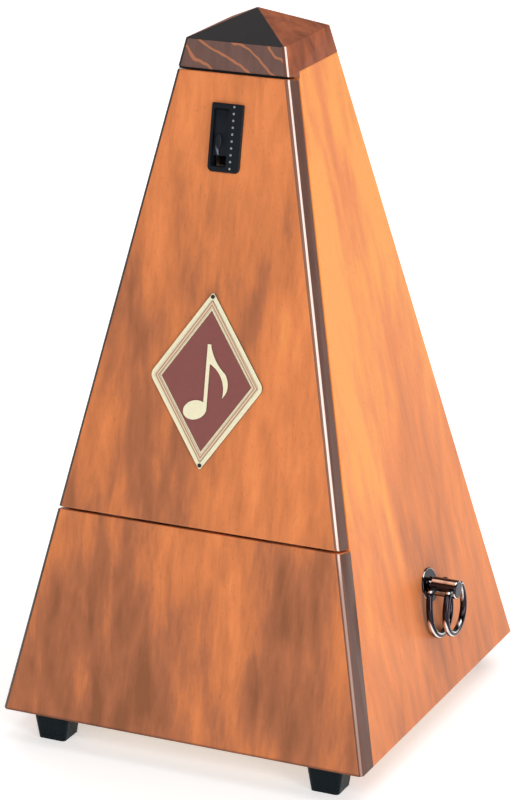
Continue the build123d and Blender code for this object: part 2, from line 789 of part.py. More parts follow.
def pendulum():
    """Axle, hub, rod, bob and pallets."""
    with BuildPart() as axle:
        with BuildSketch(FRONT.offset(AXLE_BACK)):
            with Locations((0, PIVOT_T)):
                Circle(AXLE_R)
        extrude(amount=AXLE_FRONT - AXLE_BACK)
    save(axle, "pendulum_axle")

    strip = rod_section(ROD_LOW_T, ROD_TOP_T, 0)
    with BuildPart() as rod:
        add(strip)
        with BuildSketch(FRONT.offset(ROD_BACK)):
            with Locations((0, PIVOT_T)):
                Circle(AXLE_R)
            with Locations((ROD_W / 2, WEIGHT_T + 31)):
                with GridLocations(0, 3, 1, 25):
                    Rectangle(0.7, 0.7, rotation=45)
        extrude(amount=ROD_T, mode=Mode.SUBTRACT)
    save(rod, "pendulum_rod")

    with BuildPart() as hub:
        with BuildSketch(FRONT.offset(-10.2)):
            with Locations((0, PIVOT_T)):
                Circle(4)
                Circle(AXLE_R, mode=Mode.SUBTRACT)
        extrude(amount=5.0)
        add(strip, mode=Mode.SUBTRACT)
    save(hub, "rod_hub")

    with BuildPart() as bob:
        with BuildSketch(FRONT.offset(-10.4)):
            with Locations((0, BOB_T)):
                Circle(BOB_R)
        extrude(amount=6.0)
        fillet(bob.edges().filter_by(GeomType.CIRCLE), 1.2)
        add(strip, mode=Mode.SUBTRACT)
    save(bob, "pendulum_bob")

    with BuildPart() as pallets:
        with BuildSketch(FRONT.offset(-26.5)):
            with Locations((0, PIVOT_T)):
                with Locations((0, 0.9)):
                    Rectangle(8.4, 4.4)
                with GridLocations(7.2, 0, 2, 1):
                    with Locations((0, -2.2)):
                        Rectangle(1.2, 5.6)
                Circle(AXLE_R, mode=Mode.SUBTRACT)
        extrude(amount=5.0)
    save(pallets, "pallets")


def tempo_weight():
    """Sliding weight, wider at its top, and the leaf that grips the rod."""
    slot = rod_section(WEIGHT_T - 10, WEIGHT_T + 10, RUN)
    with BuildPart() as weight:
        with BuildSketch(front_plane(-8.6, WEIGHT_T)):
            with BuildLine():
                Polyline((-5.5, -5.5), (5.5, -5.5), (7.5, 5.5), (-7.5, 5.5), close=True)
            make_face()
        extrude(amount=4.4)
        chamfer(on_planes(weight.edges(), FRONT.offset(-4.2)), 0.5)
        add(slot, mode=Mode.SUBTRACT)
    save(weight, "tempo_weight")

    with BuildPart() as leaf:
        with BuildSketch(FRONT.offset(-8.85)):
            with Locations((0, WEIGHT_T)):
                RectangleRounded(8, 6, 1)
        extrude(amount=0.25)
    save(leaf, "weight_spring")


# ---- winding key --------------------------------------------------------------------------
def key_hub():
    """Key barrel: shank through the panel, boss outside it, and cross holes for the two loops."""
    with BuildPart() as hub:
        for start, end, radius in ((49.0, 54.2, ARBOR_R), (54.2, KEY_HUB_END, 2.9)):
            with BuildSketch(across(start)):
                with Locations(GREAT):
                    Circle(radius)
            extrude(amount=end - start)
        fillet(hub.edges().filter_by(GeomType.CIRCLE).group_by(Axis.X)[-1], 0.6)
        for loop_x in (LOOP_INNER_X, LOOP_OUTER_X):
            with BuildSketch(Plane.XZ.offset(-KEY_Y)):
                with Locations((loop_x, KEY_Z)):
                    Circle(LOOP_WIRE_R + RUN)
            extrude(amount=8, both=True, mode=Mode.SUBTRACT)
    save(hub, "key_hub")


def key_loop(name, x, width, depth, side_r, lean):
    """Oval wire loop on a straight bar through the hub, hanging at an angle out of the vertical."""
    hang = Plane(
        origin=(x, KEY_Y, KEY_Z), x_dir=(0, 1, 0), z_dir=(cos(radians(lean)), 0, sin(radians(lean)))
    )
    half = width / 2
    widest = half - depth
    turn = asin((-widest - LOOP_CORNER_R) / (side_r - LOOP_CORNER_R))
    corner_x = half - side_r + (side_r - LOOP_CORNER_R) * cos(turn)
    shoulder_x = half - side_r + side_r * cos(turn)
    shoulder_y = widest + side_r * sin(turn)
    with BuildPart() as loop:
        with BuildLine(hang) as path:
            Line((0, 0), (corner_x, 0))
            RadiusArc((corner_x, 0), (shoulder_x, shoulder_y), LOOP_CORNER_R)
            RadiusArc((shoulder_x, shoulder_y), (half, widest), side_r)
            RadiusArc((half, widest), (0, -depth), half)
            RadiusArc((0, -depth), (-half, widest), half)
            RadiusArc((-half, widest), (-shoulder_x, shoulder_y), side_r)
            RadiusArc((-shoulder_x, shoulder_y), (-corner_x, 0), LOOP_CORNER_R)
            Line((-corner_x, 0), (0, 0))
        with BuildSketch(Plane(origin=(x, KEY_Y, KEY_Z), x_dir=(1, 0, 0), z_dir=(0, 1, 0))):
            Circle(LOOP_WIRE_R)
        sweep(path=path.wires()[0])
    save(loop, name)


side_panel(LEFT, "side_panel_left", False)
side_panel(RIGHT, "side_panel_right", True)
back_panel()
lower_front_panel()
base_board()
feet()
foot_screws()
crown()
mask_board()
scale_plate()
rod_clip()
key_escutcheon()
cover()
locating_tongues()
catch_housing()
catch_slider()
catch_leaf_springs()
badge_layer("badge_plate", 0, None, 2.6, 0, BADGE_STEP)
badge_layer("badge_band", 1.3, 2.75, 1.2, BADGE_STEP, BADGE_STEP + INLAY)
badge_layer("badge_field", 3.25, None, 0, BADGE_STEP, BADGE_STEP + INLAY)
badge_motif()
badge_pins()
train()
winding_parts()
mainspring()
movement_plate(-PLATE_X - PLATE_T, "movement_plate_left")
movement_plate(PLATE_X, "movement_plate_right")
pillars_and_screws()
bridge("front_bridge", 16.0, BRIDGE_BACK)
bridge("rear_bridge", PLATE_X, REAR_BRIDGE_BACK)
bush("front_bush", BRIDGE_BACK)
bush("rear_bush", REAR_BRIDGE_BACK)
bridge_screws()
mounting_brackets()
pendulum()
tempo_weight()
key_hub()
key_loop(
    "key_loop_inner", LOOP_INNER_X, LOOP_INNER_W, LOOP_INNER_DEPTH, LOOP_INNER_SIDE_R, LOOP_INNER_LEAN
)
key_loop(
    "key_loop_outer", LOOP_OUTER_X, LOOP_OUTER_W, LOOP_OUTER_DEPTH, LOOP_OUTER_SIDE_R, LOOP_OUTER_LEAN
)
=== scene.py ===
"""Looks of the wooden pyramid metronome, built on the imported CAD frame. Metres, +Z up, front -Y."""

import math

import bmesh
import bpy
from mathutils import Matrix, Vector


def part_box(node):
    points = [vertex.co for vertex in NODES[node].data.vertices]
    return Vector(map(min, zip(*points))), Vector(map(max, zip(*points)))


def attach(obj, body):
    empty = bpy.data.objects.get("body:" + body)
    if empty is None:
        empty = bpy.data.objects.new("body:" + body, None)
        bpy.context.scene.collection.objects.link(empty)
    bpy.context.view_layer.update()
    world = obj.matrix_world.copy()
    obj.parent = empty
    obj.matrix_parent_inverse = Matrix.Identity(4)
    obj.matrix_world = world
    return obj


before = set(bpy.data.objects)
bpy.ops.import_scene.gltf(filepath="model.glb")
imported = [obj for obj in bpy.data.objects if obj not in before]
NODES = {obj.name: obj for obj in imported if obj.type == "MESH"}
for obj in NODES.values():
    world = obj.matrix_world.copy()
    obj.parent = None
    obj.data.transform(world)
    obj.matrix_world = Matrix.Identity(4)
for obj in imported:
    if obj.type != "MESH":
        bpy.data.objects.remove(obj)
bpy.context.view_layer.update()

# ---- sizes taken from the frame -------------------------------------------------------------
MM = 0.001
SIDE_LOW, SIDE_HIGH = (Vector(corner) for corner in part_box("side_panel_right"))
CROWN_LOW, CROWN_HIGH = (Vector(corner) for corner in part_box("crown"))
HALF_BASE = Vector(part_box("lower_front_panel")[1]).x
FOOT_H = SIDE_LOW.z
CASE_H = SIDE_HIGH.z - FOOT_H
CROWN_HALF = (CROWN_HIGH.x - CROWN_LOW.x) / 2
LEAN = math.atan((HALF_BASE - CROWN_HALF) / CASE_H)     # how far each face leans in
SIN, COS = math.sin(LEAN), math.cos(LEAN)


def front_point(x, t, n):
    """Point x across the front face, t up its slope from the bottom edge and n out of it."""
    return Vector((x, -HALF_BASE + SIN * t - COS * n, FOOT_H + COS * t + SIN * n))


def slope_of(node):
    """Distance up the front slope of the middle of a node."""
    low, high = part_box(node)
    return ((low[1] + high[1]) / 2 + HALF_BASE) * SIN + ((low[2] + high[2]) / 2 - FOOT_H) * COS


# ---- shader helpers -------------------------------------------------------------------------
class Shader:
    """One material's node tree, with short calls that add nodes and link them.

    Colours and numbers are a node's output or a plain value."""

    def __init__(self, name):
        self.material = bpy.data.materials.new(name)
        self.material.use_nodes = True
        self.tree = self.material.node_tree
        self.bsdf = self.tree.nodes["Principled BSDF"]

    def node(self, kind, **settings):
        made = self.tree.nodes.new(kind)
        for key, value in settings.items():
            setattr(made, key, value)
        return made

    def link(self, source, target):
        self.tree.links.new(source, target)

    def fill(self, socket, value):
        """Links a node's output to a socket, or sets the socket to a plain value."""
        if hasattr(value, "is_output"):
            self.link(value, socket)
        elif value is not None:
            socket.default_value = value

    def coords(self, output="Object"):
        return self.node("ShaderNodeTexCoord").outputs[output]

    def mapped(self, scale=(1, 1, 1), rotation=(0, 0, 0), location=(0, 0, 0)):
        mapping = self.node("ShaderNodeMapping")
        self.link(self.coords(), mapping.inputs["Vector"])
        mapping.inputs["Scale"].default_value = scale
        mapping.inputs["Rotation"].default_value = rotation
        mapping.inputs["Location"].default_value = location
        return mapping.outputs[0]

    def noise(self, vector, scale, detail=3.0, rough=0.5, distortion=0.0):
        tex = self.node("ShaderNodeTexNoise")
        self.link(vector, tex.inputs["Vector"])
        tex.inputs["Scale"].default_value = scale
        tex.inputs["Detail"].default_value = detail
        tex.inputs["Roughness"].default_value = rough
        tex.inputs["Distortion"].default_value = distortion
        return tex.outputs["Fac"]

    def math(self, operation, first, second=None, third=None):
        made = self.node("ShaderNodeMath", operation=operation)
        for socket, value in zip(made.inputs, (first, second, third)):
            self.fill(socket, value)
        return made.outputs[0]

    def axis(self, vector, letter):
        """One component of a vector."""
        split = self.node("ShaderNodeSeparateXYZ")
        self.link(vector, split.inputs[0])
        return split.outputs[letter]

    def spread(self, value, low, high, out_low=0.0, out_high=1.0):
        """Maps low..high to out_low..out_high with smooth ends."""
        made = self.node("ShaderNodeMapRange", interpolation_type="SMOOTHSTEP")
        for socket, item in zip(made.inputs, (value, low, high, out_low, out_high)):
            self.fill(socket, item)
        return made.outputs[0]

    def ramp(self, value, stops):
        """Colour ramp through (place, colour) stops."""
        made = self.node("ShaderNodeValToRGB")
        self.link(value, made.inputs[0])
        elements = made.color_ramp.elements
        while len(elements) < len(stops):
            elements.new(0.5)
        for element, (place, colour) in zip(elements, stops):
            element.position = place
            element.color = (*colour, 1)
        return made.outputs[0]

    def mix(self, factor, first, second):
        """Blend of two colours, each a node's output or a plain colour."""
        made = self.node("ShaderNodeMix", data_type="RGBA")
        self.fill(made.inputs["Factor"], factor)
        for socket, value in ((made.inputs[6], first), (made.inputs[7], second)):
            self.fill(socket, value if hasattr(value, "is_output") else (*value, 1))
        return made.outputs[2]

    def bump(self, height, strength, distance):
        made = self.node("ShaderNodeBump")
        self.link(height, made.inputs["Height"])
        made.inputs["Strength"].default_value = strength
        made.inputs["Distance"].default_value = distance
        self.link(made.outputs[0], self.bsdf.inputs["Normal"])

    def finish(self, colour, rough, metallic=0.0, coat=0.0, coat_rough=0.05, specular=0.5):
        """Sets the surface and returns the material; colour is a node's output."""
        self.link(colour, self.bsdf.inputs["Base Color"])
        self.fill(self.bsdf.inputs["Roughness"], rough)
        self.bsdf.inputs["Metallic"].default_value = metallic
        self.bsdf.inputs["Coat Weight"].default_value = coat
        self.bsdf.inputs["Coat Roughness"].default_value = coat_rough
        self.bsdf.inputs["Specular IOR Level"].default_value = specular
        return self.material


# ---- materials ------------------------------------------------------------------------------
WALNUT_GOLD, WALNUT_LIGHT = (0.88, 0.345, 0.092), (0.77, 0.245, 0.083)
WALNUT_MID, WALNUT_BROWN = (0.60, 0.19, 0.067), (0.42, 0.142, 0.062)
WALNUT_DARK, PORE = (0.27, 0.095, 0.041), (0.20, 0.07, 0.035)
EDGE_STAIN, EDGE_WORN = (0.085, 0.036, 0.026), (0.15, 0.067, 0.046)
BEVEL_DARK, BEVEL_BLACK = (0.10, 0.040, 0.028), (0.025, 0.014, 0.011)
# BEVEL_PAINTED_HIGHLIGHT is the pale colour of a painted highlight on the front right bevel.
BEVEL_PAINTED_HIGHLIGHT = (0.95, 0.74, 0.66)


def veneer(name, seed, light_bias, figure, shade_low, shade_left=0.0, edge_stain_and_painted_highlight=False):
    """Lacquered walnut veneer with its grain up the board.

    light_bias lifts the tone and figure scales its contrast; where light_bias differs from face to face it
    is partly painted light. shade_left and shade_low are the strengths of a broad painted shade towards -X
    and the table, towards -X partly also the veneer's own darker tone. edge_stain_and_painted_highlight
    darkens the board's narrow faces and bevels and paints a highlight along the right bevel."""
    s = Shader(name)
    shift = (seed * 0.37, seed * 0.61, seed * 0.23)

    def grain(stretch, scale, detail, rough, distortion=0.0):
        """Noise drawn out along the board: the smaller stretch is, the longer its streaks."""
        return s.noise(s.mapped((1, 1, stretch), location=shift), scale, detail, rough, distortion)

    wide = grain(0.24, 34, 2.0, 0.45, 0.7)
    patches = grain(0.15, 66, 2.0, 0.5, 0.8)
    streaks = grain(0.035, 210, 3.0, 0.5, 0.3)
    fine = grain(0.03, 900, 3.0, 0.6)
    tone = s.math("MULTIPLY", s.math("SUBTRACT", wide, 0.5), 0.58)
    for layer, weight in ((patches, 0.34), (streaks, 0.38), (fine, 0.12)):
        tone = s.math("MULTIPLY_ADD", s.math("SUBTRACT", layer, 0.5), weight, tone)
    middle_tone = 0.56
    tone = s.math("MULTIPLY_ADD", tone, figure, middle_tone)
    # Painted shade: darker towards -X, there partly also the veneer's own tone, and darker towards the
    # table.
    place = s.coords()
    left = s.spread(s.axis(place, "X"), 0.035, -0.065, 0, shade_left)
    low = s.spread(s.axis(place, "Z"), 0.125, 0.0, 0, shade_low)
    tone = s.math("SUBTRACT", tone, s.math("ADD", left, low))
    tone = s.math("ADD", tone, light_bias)
    colour = s.ramp(tone, (
        (0.28, WALNUT_DARK), (0.43, WALNUT_BROWN), (0.53, WALNUT_MID), (0.66, WALNUT_LIGHT),
        (0.80, WALNUT_GOLD),
    ))
    pore_mask = s.spread(grain(0.035, 2600, 2.0, 0.7), 0.60, 0.72)
    colour = s.mix(s.math("MULTIPLY", pore_mask, 0.28), colour, PORE)
    if edge_stain_and_painted_highlight:
        colour = stain_edges(s, colour)
    rough = s.spread(streaks, 0.3, 0.7, 0.30, 0.42)
    s.bump(s.math("SUBTRACT", streaks, pore_mask), 0.12, 0.2 * MM)
    return s.finish(colour, rough, coat=0.06, coat_rough=0.15, specular=0.14)


def stain_edges(s, colour):
    """Dark side edges, black left bevel, a dark line along the table side and the right bevel with its
    painted highlight.
    """
    look = s.axis(s.coords("Normal"), "X")
    wear = s.noise(s.mapped((1, 1, 0.1)), 400, 3.0)
    stain = s.mix(wear, EDGE_STAIN, EDGE_WORN)
    colour = s.mix(s.spread(s.math("ABSOLUTE", look), 0.80, 0.90), colour, stain)
    left_bevel = s.math("MULTIPLY", s.spread(look, -0.35, -0.50), s.spread(look, -0.90, -0.82))
    colour = s.mix(left_bevel, colour, BEVEL_BLACK)
    height = s.axis(s.coords(), "Z")
    foot_line = s.spread(height, FOOT_H + 1.0 * MM, FOOT_H + 0.3 * MM, 0, 0.7)
    colour = s.mix(foot_line, colour, EDGE_STAIN)
    return worn_bevel(s, colour)


def worn_bevel(s, colour):
    """Dark broken edge at the front right with a thin pale line along it that is a painted highlight,
    fading towards the table.
    """
    look = s.axis(s.coords("Normal"), "X")
    front = s.axis(s.coords("Normal"), "Y")
    bevel = s.math("MULTIPLY", s.spread(look, 0.36, 0.46), s.spread(look, 0.88, 0.80))
    bevel = s.math("MULTIPLY", bevel, s.spread(front, -0.30, -0.42))
    slope = math.tan(LEAN)
    height = s.axis(s.coords(), "Z")
    side = s.math("MULTIPLY_ADD", height, -slope, HALF_BASE + slope * FOOT_H)
    depth = s.math("SUBTRACT", side, s.axis(s.coords(), "X"))
    # Painted highlight: a thin pale line along the bevel, strongest high up and fading towards the table.
    line = s.math("MULTIPLY", s.spread(depth, 0.22 * MM, 0.36 * MM), s.spread(depth, 0.86 * MM, 0.72 * MM))
    fade = s.spread(height, 60 * MM, 80 * MM, 0.22, 0.92)
    colour = s.mix(s.math("MULTIPLY", bevel, 0.85), colour, BEVEL_DARK)
    return s.mix(s.math("MULTIPLY", s.math("MULTIPLY", bevel, line), fade), colour, BEVEL_PAINTED_HIGHLIGHT)


CROWN_REDS = ((0.30, (0.15, 0.046, 0.024)), (0.50, (0.33, 0.092, 0.040)), (0.72, (0.50, 0.15, 0.060)))
CROWN_BAND, CROWN_BAND_LIGHT, CROWN_STREAK = (0.11, 0.062, 0.055), (0.20, 0.11, 0.088), (0.52, 0.19, 0.085)
# The front slope's two near-black colours are a painted dark reflection.
CROWN_SLOPE_REFLECTION_DARK, CROWN_SLOPE_REFLECTION_MOTTLE = (0.014, 0.012, 0.012), (0.022, 0.018, 0.018)
CROWN_LEFT_BEVEL = (0.02, 0.014, 0.013)


def crown_wood():
    """Dark stained cap: figured front band with wavy light streaks, red-brown sides, a black front slope
    that is a painted dark reflection, and a painted highlight along the front right bevel.
    """
    s = Shader("crown_wood")
    normal = s.coords("Normal")
    look_x, look_y, look_z = (s.axis(normal, letter) for letter in "XYZ")
    soft = s.noise(s.mapped((1, 1, 0.5)), 90, 3.0, 0.55, 1.2)
    grain = s.noise(s.mapped((1, 1, 0.12)), 420, 3.0)
    red = s.ramp(s.math("MULTIPLY_ADD", grain, 0.25, s.math("MULTIPLY", soft, 0.8)), CROWN_REDS)
    wave = s.node("ShaderNodeTexWave", wave_type="BANDS", bands_direction="X", wave_profile="SIN")
    s.link(s.mapped(rotation=(0, math.radians(60), 0)), wave.inputs["Vector"])
    for socket, value in (("Scale", 62), ("Distortion", 4.5), ("Detail", 2.0), ("Detail Scale", 1.6)):
        wave.inputs[socket].default_value = value
    lines = s.spread(wave.outputs["Fac"], 0.90, 1.0)
    band = s.mix(grain, CROWN_BAND, CROWN_BAND_LIGHT)
    band = s.mix(s.math("MULTIPLY", lines, 0.75), band, CROWN_STREAK)
    colour = s.mix(s.spread(look_y, -0.55, -0.80), red, band)
    # Painted dark reflection on the front slope of the top.
    front_slope_reflection = s.math("MULTIPLY", s.spread(look_y, -0.25, -0.35), s.spread(look_z, 0.60, 0.80))
    colour = s.mix(front_slope_reflection, colour, s.mix(soft, CROWN_SLOPE_REFLECTION_DARK, CROWN_SLOPE_REFLECTION_MOTTLE))
    left_bevel = s.math("MULTIPLY", s.spread(look_x, -0.35, -0.55), s.spread(look_y, -0.35, -0.50))
    colour = worn_bevel(s, s.mix(left_bevel, colour, CROWN_LEFT_BEVEL))
    s.bump(grain, 0.06, 0.1 * MM)
    return s.finish(colour, 0.5, specular=0.10)


def plain_wood(name, light, dark):
    """Unfinished inner wood."""
    s = Shader(name)
    streaks = s.noise(s.mapped((1, 1, 0.06)), 260, 4.0, 0.6)
    s.bump(streaks, 0.25, 0.3 * MM)
    return s.finish(s.ramp(streaks, ((0.3, dark), (0.7, light))), 0.62, specular=0.3)


def metal(name, colour, tarnished, rough, stretch):
    """Metal with fine marks drawn out by stretch and a little tarnish; rough is (lowest, highest)."""
    s = Shader(name)
    marks = s.noise(s.mapped(stretch), 900, 3.0, 0.6)
    tarnish = s.noise(s.mapped(), 120, 3.0, 0.5)
    s.bump(marks, 0.05, 0.05 * MM)
    tone = s.mix(s.spread(tarnish, 0.35, 0.75), colour, tarnished)
    return s.finish(tone, s.spread(marks, 0.25, 0.75, *rough), metallic=1.0)


def polished(name, light, dark):
    """Bright plating with painted reflections: its curved faces get alternate light and dark bands in
    their colour.
    """
    s = Shader(name)
    normal = s.coords("Normal")
    turns_z, turns_y, start = 4.6, 2.6, -0.9
    turn_y = s.math("MULTIPLY", s.axis(normal, "Y"), turns_y)
    turn = s.math("MULTIPLY_ADD", s.axis(normal, "Z"), turns_z, turn_y)
    # Painted reflection: light and dark bands set by which way each face points.
    bands = s.spread(s.math("SINE", s.math("ADD", turn, start)), 0.45, 0.9)
    smear = s.noise(s.mapped(), 260, 2.0)
    bands = s.math("MULTIPLY", bands, s.spread(smear, 0.3, 0.6, 0.55, 1.0))
    s.bump(smear, 0.03, 0.05 * MM)
    return s.finish(s.mix(bands, dark, light), s.spread(smear, 0.3, 0.7, 0.10, 0.2), metallic=1.0)


def plastic(name, colour, rough, grain=1600, strength=0.08, specular=0.25):
    """Moulded plastic, rubber, paint or felt with a fine texture."""
    s = Shader(name)
    texture = s.noise(s.mapped(), grain, 2.0)
    broad = s.noise(s.mapped(), 70, 2.0)
    lighter = tuple(min(1, c * 1.35 + 0.004) for c in colour)
    s.bump(texture, strength, 0.1 * MM)
    rough_map = s.spread(texture, 0.3, 0.7, rough - 0.06, rough + 0.06)
    return s.finish(s.mix(broad, colour, lighter), rough_map, specular=specular)


BADGE_EDGE = (0.02, 0.016, 0.014)
LINE_STRENGTH = 0.85
# The lines are the crests of a cosine across the rhombus. Its angle falls by LINE_TURNS from the
# centre to the edge, which sets them 0.75 mm apart, and LINE_START puts one in the band's middle.
LINE_TURNS, LINE_START = 127.7, 110.9


def enamel(name, colour, line_colour=None):
    """Badge enamel with dark sides; line_colour prints fine rhombic lines on it."""
    s = Shader(name)
    speck = s.noise(s.mapped(), 900, 3.0)
    base = s.mix(speck, colour, tuple(c * 0.86 for c in colour))
    if line_colour:
        base = s.mix(s.math("MULTIPLY", rhombic_lines(s), LINE_STRENGTH), base, line_colour)
    normal = s.coords("Normal")
    out = s.math("MULTIPLY_ADD", s.axis(normal, "Z"), SIN, s.math("MULTIPLY", s.axis(normal, "Y"), -COS))
    base = s.mix(s.spread(out, 0.75, 0.45), base, BADGE_EDGE)
    s.bump(speck, 0.05, 0.05 * MM)
    return s.finish(base, 0.42, coat=0.15, specular=0.25)


def rhombic_lines(s):
    """1 on thin lines that run parallel to the badge's edges, 0 between them."""
    low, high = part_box("badge_plate")
    place = s.coords()
    across = s.math("DIVIDE", s.math("ABSOLUTE", s.axis(place, "X")), high[0])
    middle = (low[2] + high[2]) / 2
    rise = s.math("ABSOLUTE", s.math("SUBTRACT", s.axis(place, "Z"), middle))
    along = s.math("DIVIDE", rise, (high[2] - low[2]) / 2)
    rings = s.math("COSINE", s.math("MULTIPLY_ADD", s.math("ADD", across, along), -LINE_TURNS, LINE_START))
    return s.spread(rings, 0.1, 0.8)


TURNED, BRUSHED_X, BRUSHED_Y, BRUSHED_Z = (1, 1, 1), (0.1, 1, 1), (1, 0.1, 1), (1, 1, 0.1)
MATERIALS = {
    # The faces share one veneer. Their light_bias and shade_low values differ partly as painted light and
    # shade: the right face is lifted as if lit, and each face darkens towards the table.
    "front": veneer(
        "walnut_front", seed=1.0, light_bias=0.045, figure=1.0, shade_left=0.10, shade_low=0.15,
        edge_stain_and_painted_highlight=True,
    ),
    "lower": veneer(
        "walnut_lower", seed=2.3, light_bias=0.055, figure=1.1, shade_left=0.07, shade_low=0.20,
        edge_stain_and_painted_highlight=True,
    ),
    "right": veneer("walnut_right", seed=3.1, light_bias=0.17, figure=0.85, shade_low=0.20),
    "left": veneer("walnut_left", seed=4.7, light_bias=0.06, figure=0.6, shade_low=0.15),
    "back": veneer("walnut_back", seed=5.9, light_bias=0.04, figure=0.55, shade_low=0.12),
    "crown": crown_wood(),
    "inner_wood": plain_wood("inner_wood", (0.52, 0.36, 0.20), (0.36, 0.23, 0.12)),
    "mask_wood": plain_wood("mask_wood", (0.16, 0.075, 0.04), (0.08, 0.036, 0.02)),
    "nickel": polished("nickel", (0.92, 0.91, 0.90), (0.030, 0.024, 0.030)),
    "rod": metal("rod_nickel", (0.64, 0.62, 0.59), (0.46, 0.45, 0.43), (0.20, 0.32), BRUSHED_Z),
    "brass": metal("brass", (0.75, 0.54, 0.22), (0.55, 0.37, 0.14), (0.22, 0.36), BRUSHED_Z),
    "steel": metal("steel", (0.58, 0.58, 0.58), (0.40, 0.40, 0.41), (0.20, 0.32), BRUSHED_X),
    "blued_steel": metal("blued_steel", (0.10, 0.13, 0.24), (0.05, 0.06, 0.10), (0.2, 0.34), BRUSHED_Y),
    "catch": plastic("catch_plastic", (0.006, 0.008, 0.011), 0.36, specular=0.15),
    "slider": plastic("slider_plastic", (0.008, 0.010, 0.014), 0.34, specular=0.15),
    "dots": plastic("catch_dots", (0.20, 0.21, 0.22), 0.5),
    "grip": plastic("slider_grip", (0.10, 0.11, 0.14), 0.45),
    # One dark matte material for the catch backing and for the strip of painted shade in the gap under the
    # crown.
    "felt": plastic("crown_felt", (0.006, 0.005, 0.005), 0.9, 3000, 0.3, specular=0.05),
    "feet": plastic("foot_rubber", (0.002, 0.006, 0.008), 0.30, 900, 0.15, specular=0.07),
    "cream": enamel("badge_cream", (0.90, 0.83, 0.58)),
    "band": enamel("badge_band", (0.80, 0.58, 0.40), line_colour=(0.20, 0.13, 0.075)),
    "maroon": enamel("badge_maroon", (0.25, 0.080, 0.070)),
    "pin": metal("badge_pin", (0.05, 0.045, 0.04), (0.03, 0.03, 0.03), (0.4, 0.5), TURNED),
    "scale": plastic("scale_paint", (0.70, 0.64, 0.46), 0.45),
    "ink": plastic("scale_ink", (0.02, 0.018, 0.016), 0.5),
}
FINISHES = {
    "front": ("cover",),
    "lower": ("lower_front_panel",),
    "right": ("side_panel_right",),
    "left": ("side_panel_left",),
    "back": ("back_panel",),
    "crown": ("crown",),
    "inner_wood": ("base_board", "locating_tongues"),
    "mask_wood": ("mask_board",),
    "nickel": ("key_hub", "key_loop_inner", "key_loop_outer", "key_escutcheon"),
    "rod": ("pendulum_rod",),
    "brass": (
        "great_wheel", "intermediate_wheel", "escape_wheel", "movement_plate_left",
        "movement_plate_right", "pillars", "front_bridge", "rear_bridge", "front_bush", "rear_bush",
        "mounting_brackets", "pendulum_bob", "rod_hub", "tempo_weight", "rod_clip",
    ),
    "steel": (
        "foot_screws", "plate_screws", "bracket_screws", "bridge_screws", "winding_arbor",
        "intermediate_arbor", "intermediate_pinion", "escape_arbor", "escape_pinion",
        "pendulum_axle", "pallets", "click", "ratchet_wheel",
    ),
    "pin": ("badge_pins",),
    "blued_steel": ("mainspring", "click_spring", "weight_spring", "catch_leaf_springs"),
    "catch": ("catch_housing",),
    "slider": ("catch_slider",),
    "feet": ("feet",),
    "cream": ("badge_plate", "badge_motif"),
    "band": ("badge_band",),
    "maroon": ("badge_field",),
    "scale": ("scale_plate",),
}
# Millimetres by which the edges of a node are broken.
SOFT_EDGES = {
    "cover": 0.35, "lower_front_panel": 0.35, "side_panel_right": 0.35, "side_panel_left": 0.35,
    "back_panel": 0.3, "crown": 0.3, "base_board": 0.3, "feet": 0.5, "catch_housing": 0.12,
    "catch_slider": 0.12, "badge_plate": 0.12, "badge_motif": 0.06, "mask_board": 0.2,
    "tempo_weight": 0.2, "mounting_brackets": 0.15, "scale_plate": 0.1,
}


def finish_cad_nodes():
    """Gives each CAD node its material, and a fine rounding where its edges are broken."""
    for finish, names in FINISHES.items():
        for name in names:
            data = NODES[name].data
            data.materials.clear()
            data.materials.append(MATERIALS[finish])
    for name, width in SOFT_EDGES.items():
        weld = NODES[name].modifiers.new("weld", "WELD")
        weld.merge_threshold = 0.001 * MM
        bevel = NODES[name].modifiers.new("soft_edges", "BEVEL")
        bevel.width = width * MM
        bevel.segments = 2
        bevel.limit_method = "ANGLE"
        bevel.angle_limit = math.radians(28)


# ---- added pieces ---------------------------------------------------------------------------
def mesh_object(name, material, build):
    """New object in the scene whose mesh a function fills in."""
    data = bpy.data.meshes.new(name)
    shape = bmesh.new()
    build(shape)
    shape.to_mesh(data)
    shape.free()
    data.materials.append(material)
    made = bpy.data.objects.new(name, data)
    bpy.context.scene.collection.objects.link(made)
    return made


def mesh_piece(name, body, material, build):
    """Makes a mesh object with a bmesh builder and lets it ride on a body."""
    piece = mesh_object(name, material, build)
    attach(piece, body)
    return piece


def on_front(x, t, n):
    """Matrix whose x, y and z run across, up and out of the front face."""
    turn = Matrix.Rotation(math.pi / 2 - LEAN, 4, "X")
    return Matrix.Translation(front_point(x, t, n)) @ turn


def catch_dots():
    """Column of small raised dots on the catch's flange, right of its window."""
    dots, pitch, column, radius, flatness = 10, 2.0 * MM, 2.3 * MM, 0.38 * MM, 0.45
    flange_out = 1.0 * MM
    middle = slope_of("catch_housing")

    def build(shape):
        for row in range(dots):
            place = on_front(column, middle + (row - (dots - 1) / 2) * pitch, flange_out)
            bmesh.ops.create_uvsphere(
                shape, u_segments=12, v_segments=8, radius=radius,
                matrix=place @ Matrix.Diagonal((1, 1, flatness, 1)),
            )

    piece = mesh_piece("catch_dots", "cover", MATERIALS["dots"], build)
    piece.data.shade_smooth()


def box_on_front(shape, middle, size):
    """Adds a block to a bmesh: middle is (x, t, n) on the front face, size is (across, up, out)."""
    bmesh.ops.create_cube(shape, size=1.0, matrix=on_front(*middle) @ Matrix.Diagonal((*size, 1)))


def catch_backing():
    """Thin dark plate that closes the catch's housing from behind."""
    middle = (-1.75 * MM, slope_of("catch_housing"), -5.6 * MM)
    size = (4.9 * MM, 16.9 * MM, 0.2 * MM)

    def build(shape):
        box_on_front(shape, middle, size)

    mesh_piece("catch_backing", "cover", MATERIALS["felt"], build)


